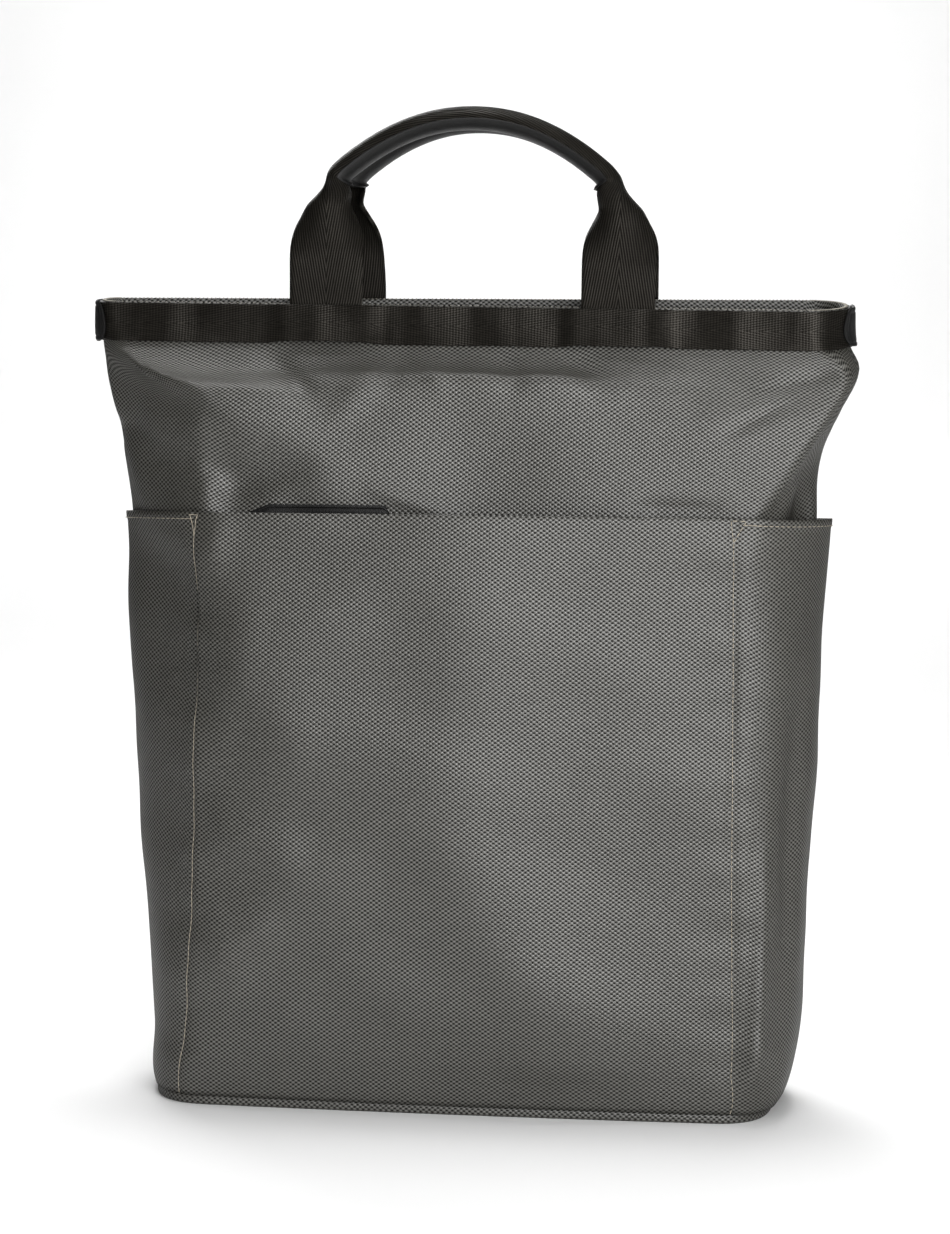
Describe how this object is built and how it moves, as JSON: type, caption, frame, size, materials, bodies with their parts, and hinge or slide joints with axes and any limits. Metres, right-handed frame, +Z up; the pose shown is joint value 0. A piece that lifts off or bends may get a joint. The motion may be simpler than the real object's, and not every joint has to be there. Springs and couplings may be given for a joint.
{
  "type": "tote backpack",
  "caption": "Upright woven tote backpack with a webbing rim, rolled carrying handles with leather grips, a wrap-round outer pocket and shoulder straps, carried by hand or on the back.",
  "frame": {"origin": "middle of the base, on the floor", "axes": "+Z up, +X to the bag's right as seen in the picture, -Y towards the viewer at the front"},
  "size_m": [0.3808, 0.1444, 0.4965],
  "materials": {
    "bag_fabric": "grey-olive two-tone basket weave, slight sheen",
    "webbing": "near-black herringbone webbing, slight sheen",
    "leather": "black fine-grained leather"
  },
  "bodies": {
    "root": {"base_panel": "bag_fabric", "body_front": "bag_fabric", "body_back": "bag_fabric", "body_left": "bag_fabric", "body_right_low": "bag_fabric", "body_right_high": "bag_fabric", "pocket_panel": "bag_fabric", "band_front": "webbing", "band_back": "webbing", "handle_front": "webbing", "handle_back": "webbing", "strap_left": "webbing", "strap_right": "webbing", "leather_patch": "leather", "grip_front": "leather", "grip_back": "leather", "end_tab_left": "leather", "end_tab_right": "leather"}
  },
  "joints": []
}
